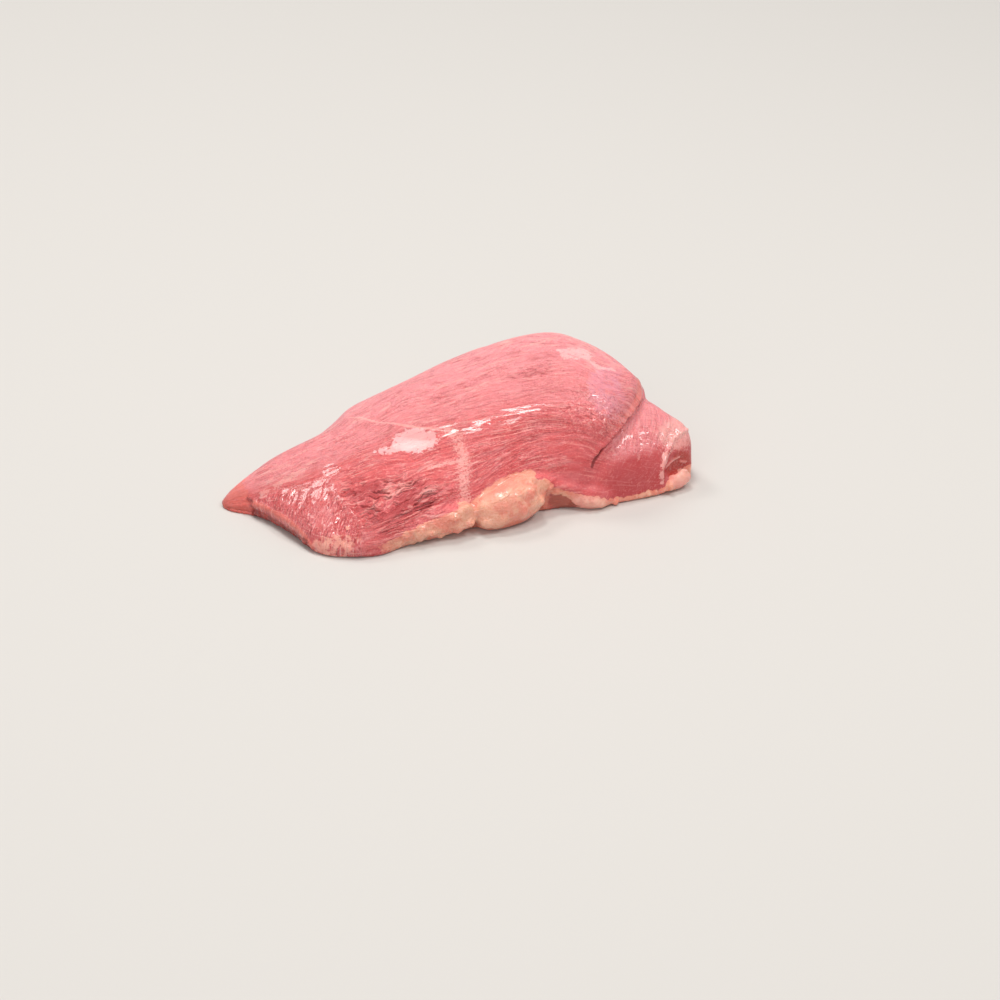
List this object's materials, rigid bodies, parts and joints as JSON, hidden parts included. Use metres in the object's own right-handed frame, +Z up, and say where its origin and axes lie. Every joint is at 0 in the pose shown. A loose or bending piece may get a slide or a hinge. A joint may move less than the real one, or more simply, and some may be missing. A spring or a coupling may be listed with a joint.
{
  "type": "raw pork eye round",
  "caption": "Raw lean pork cut, kite-shaped with a pointed tail, its thick end folded under and a lumpy fat strip along the lower front edge.",
  "frame": {"origin": "centre of the bounding box on the surface that the meat lies on", "axes": "+X from the pointed tail to the folded end, +Y from the fat edge to the back, +Z up"},
  "size_m": [0.1829, 0.1143, 0.0455],
  "materials": {
    "raw_pork": "moist"
  },
  "bodies": {
    "root": {"pork_eye_round": "raw_pork"}
  },
  "joints": []
}
